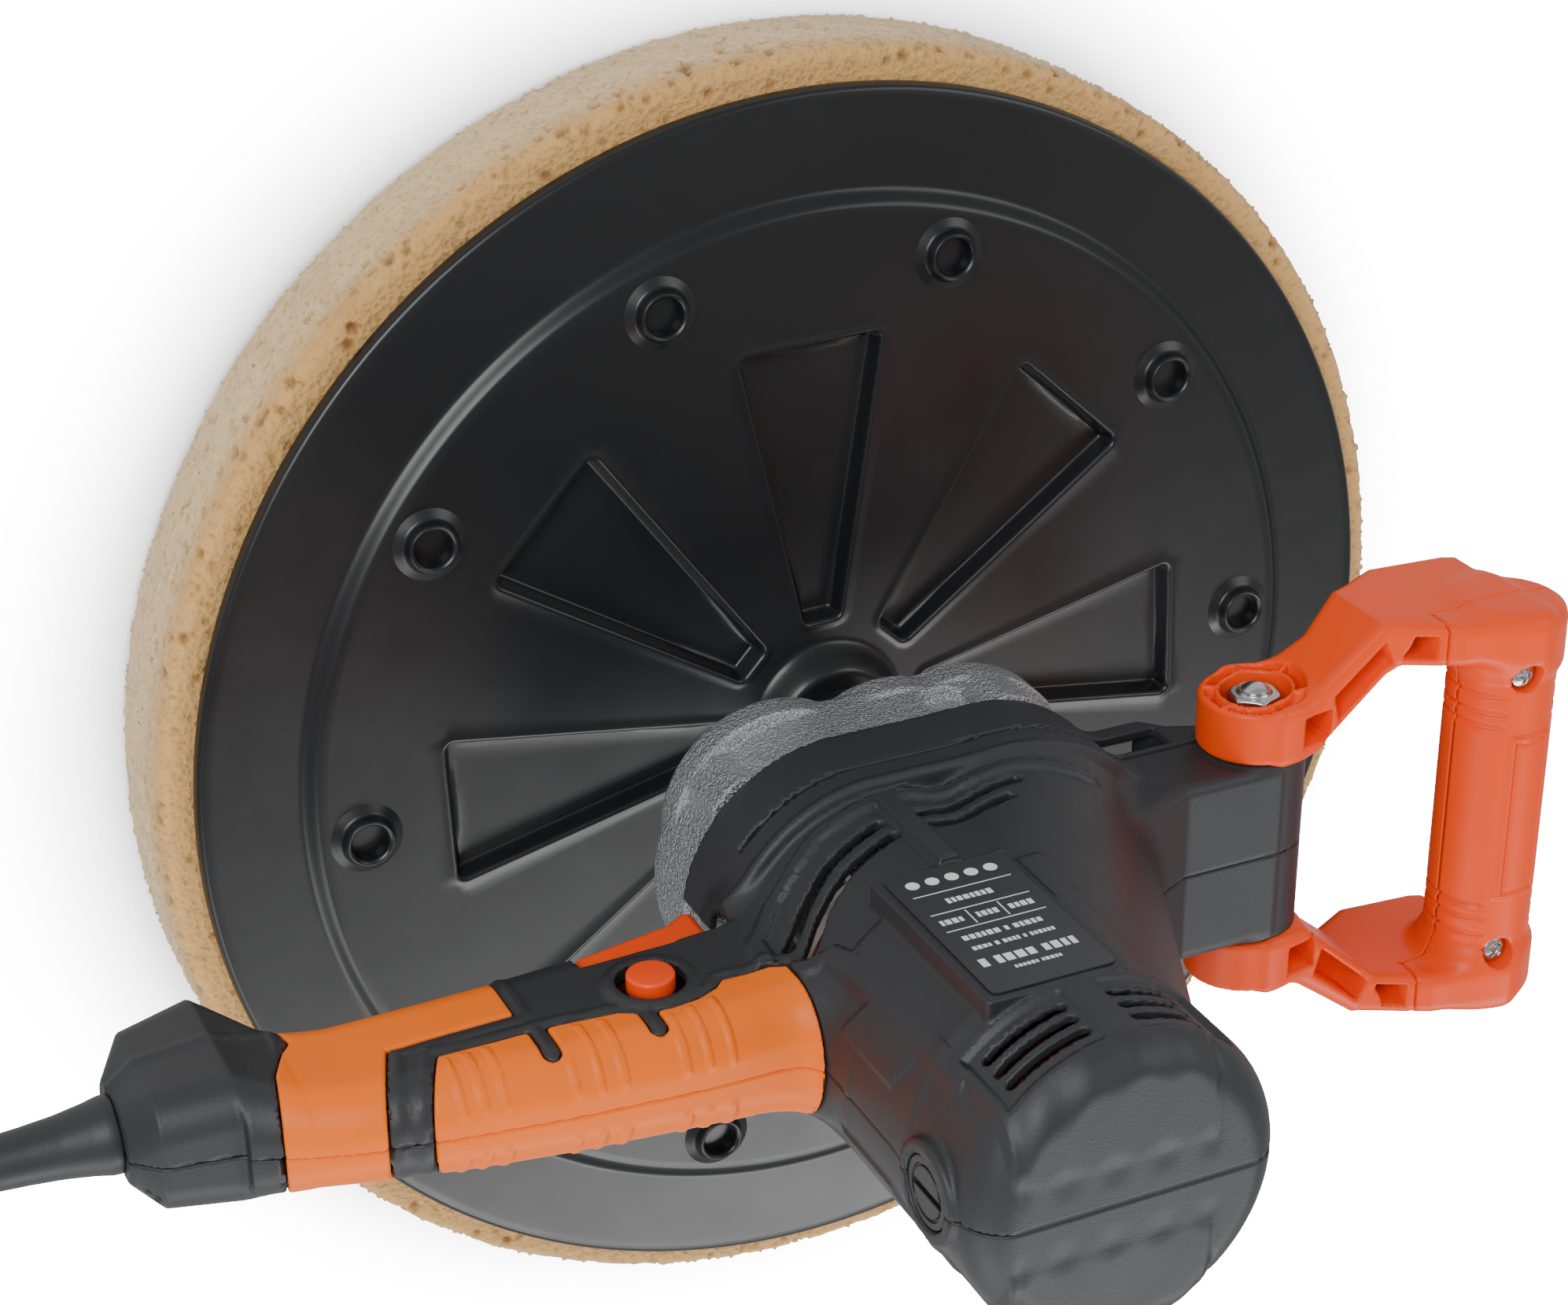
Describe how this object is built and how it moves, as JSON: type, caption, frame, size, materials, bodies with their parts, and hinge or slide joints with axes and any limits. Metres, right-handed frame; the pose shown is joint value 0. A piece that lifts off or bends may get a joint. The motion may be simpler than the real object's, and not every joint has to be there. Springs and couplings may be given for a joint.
{
  "type": "rotary sponge float",
  "caption": "Hand-held mains sponge float: round sponge disc under a geared motor, main handle with trigger and lock button, and a tilting D-shaped front handle.",
  "frame": {"origin": "centre of the sponge's working face, on the spindle axis", "axes": "+Z along the spindle towards the motor, +X towards the D-handle, -X towards the main handle and its lead, +Y the side with the lock button and the label"},
  "size_m": [0.6035, 0.39, 0.288],
  "materials": {
    "housing_plastic": "fine matt moulded, glass-filled nylon",
    "grip_rubber": "soft orange overmould, satin",
    "cast_alloy": "shot-blasted die casting",
    "zinc_steel": "bright zinc plated",
    "bearing_steel": "ground",
    "seal_rubber": "black rubber",
    "core_steel": "stacked laminations",
    "copper": "enamelled copper",
    "brass": "drawn brass",
    "carbon": "pressed carbon",
    "spring_steel": "spring steel",
    "cap_plastic": "black phenolic",
    "label_film": "printed film",
    "switch_plastic": "black nylon",
    "lead_rubber": "black rubber",
    "nickel_brass": "nickel plated",
    "sponge": "open-cell tan sponge",
    "hook_fabric": "hook and loop",
    "plate_plastic": "satin-gloss moulded ABS",
    "gear_steel": "machined and ground",
    "fan_plastic": "natural nylon",
    "handle_plastic": "satin orange nylon",
    "button_plastic": "bright orange"
  },
  "bodies": {
    "housing": {"housing_front": "housing_plastic", "housing_rear": "housing_plastic", "grip_skin_front": "grip_rubber", "grip_skin_rear": "grip_rubber", "gear_case": "cast_alloy", "gear_plate": "cast_alloy", "motor_bracket": "cast_alloy", "gear_case_screws": "zinc_steel", "shell_screws": "zinc_steel", "spindle_bearings": "bearing_steel", "motor_bearings": "bearing_steel", "spindle_seal": "seal_rubber", "stator_core": "core_steel", "field_coils": "copper", "brush_holders": "brass", "carbon_brushes": "carbon", "brush_springs": "spring_steel", "brush_caps": "cap_plastic", "rating_label": "label_film", "switch_body": "switch_plastic", "trigger_pin": "spring_steel", "capacitor": "switch_plastic", "cord_clamp": "switch_plastic", "clamp_screws": "zinc_steel", "cord_sleeve": "lead_rubber", "inner_lead": "lead_rubber", "cord_lead": "lead_rubber", "cord_coil": "lead_rubber", "cord_tail": "lead_rubber", "plug_body": "lead_rubber", "plug_pins": "nickel_brass", "hinge_bolt": "zinc_steel", "hinge_nut": "zinc_steel", "hinge_washers": "zinc_steel"},
    "disc": {"sponge_pad": "sponge", "hook_disc": "hook_fabric", "backing_plate": "plate_plastic", "hub_insert": "zinc_steel", "spindle": "gear_steel", "spindle_key": "gear_steel", "spindle_circlip": "spring_steel", "output_gear": "gear_steel"},
    "armature": {"armature_shaft": "gear_steel", "armature_core": "core_steel", "armature_windings": "copper", "commutator": "copper", "cooling_fan": "fan_plastic"},
    "first_idler": {"first_wheel": "gear_steel", "first_pinion_shaft": "gear_steel"},
    "second_idler": {"second_wheel": "gear_steel", "second_pinion_shaft": "gear_steel"},
    "d_handle": {"handle_frame": "handle_plastic", "grip_cover": "handle_plastic", "grip_screws": "zinc_steel"},
    "trigger": {"trigger": "button_plastic"},
    "plunger": {"switch_plunger": "switch_plastic"},
    "lock_button": {"lock_button": "button_plastic"}
  },
  "joints": [
    {"name": "disc_spin", "type": "hinge", "parent": "housing", "child": "disc", "pos_m": [0, 0, 0], "axis": [0, 0, 1], "continuous": true},
    {"name": "second_idler_spin", "type": "hinge", "parent": "housing", "child": "second_idler", "pos_m": [-0.037, 0.00612, 0.12], "axis": [0, 0, 1], "continuous": true},
    {"name": "first_idler_spin", "type": "hinge", "parent": "housing", "child": "first_idler", "pos_m": [-0.01218, -0.00317, 0.14], "axis": [0, 0, 1], "continuous": true},
    {"name": "armature_spin", "type": "hinge", "parent": "housing", "child": "armature", "pos_m": [-0.04, 0, 0.2], "axis": [0, 0, 1], "continuous": true},
    {"name": "d_handle_tilt", "type": "hinge", "parent": "housing", "child": "d_handle", "pos_m": [0.072, 0, 0.158], "axis": [0, 1, 0], "range_deg": [-80, 50]},
    {"name": "trigger_squeeze", "type": "hinge", "parent": "housing", "child": "trigger", "pos_m": [-0.127, 0, 0.161], "axis": [0, -1, 0], "range_deg": [0, 7], "stiffness_Nm_per_rad": 2, "springref_deg": -3.44},
    {"name": "plunger_slide", "type": "slide", "parent": "housing", "child": "plunger", "axis": [0, 0, 1], "range_m": [0, 0.003]},
    {"name": "lock_button_press", "type": "slide", "parent": "housing", "child": "lock_button", "axis": [0, -1, 0], "range_m": [0, 0.003], "stiffness_N_per_m": 400, "springref_m": -0.002}
  ],
  "couplings": [
    {"joint": "second_idler_spin", "follows": "disc_spin", "ratio": -4},
    {"joint": "first_idler_spin", "follows": "disc_spin", "ratio": 19.556},
    {"joint": "armature_spin", "follows": "disc_spin", "ratio": -136.89},
    {"joint": "plunger_slide", "follows": "trigger_squeeze", "m_per_rad": 0.023}
  ]
}
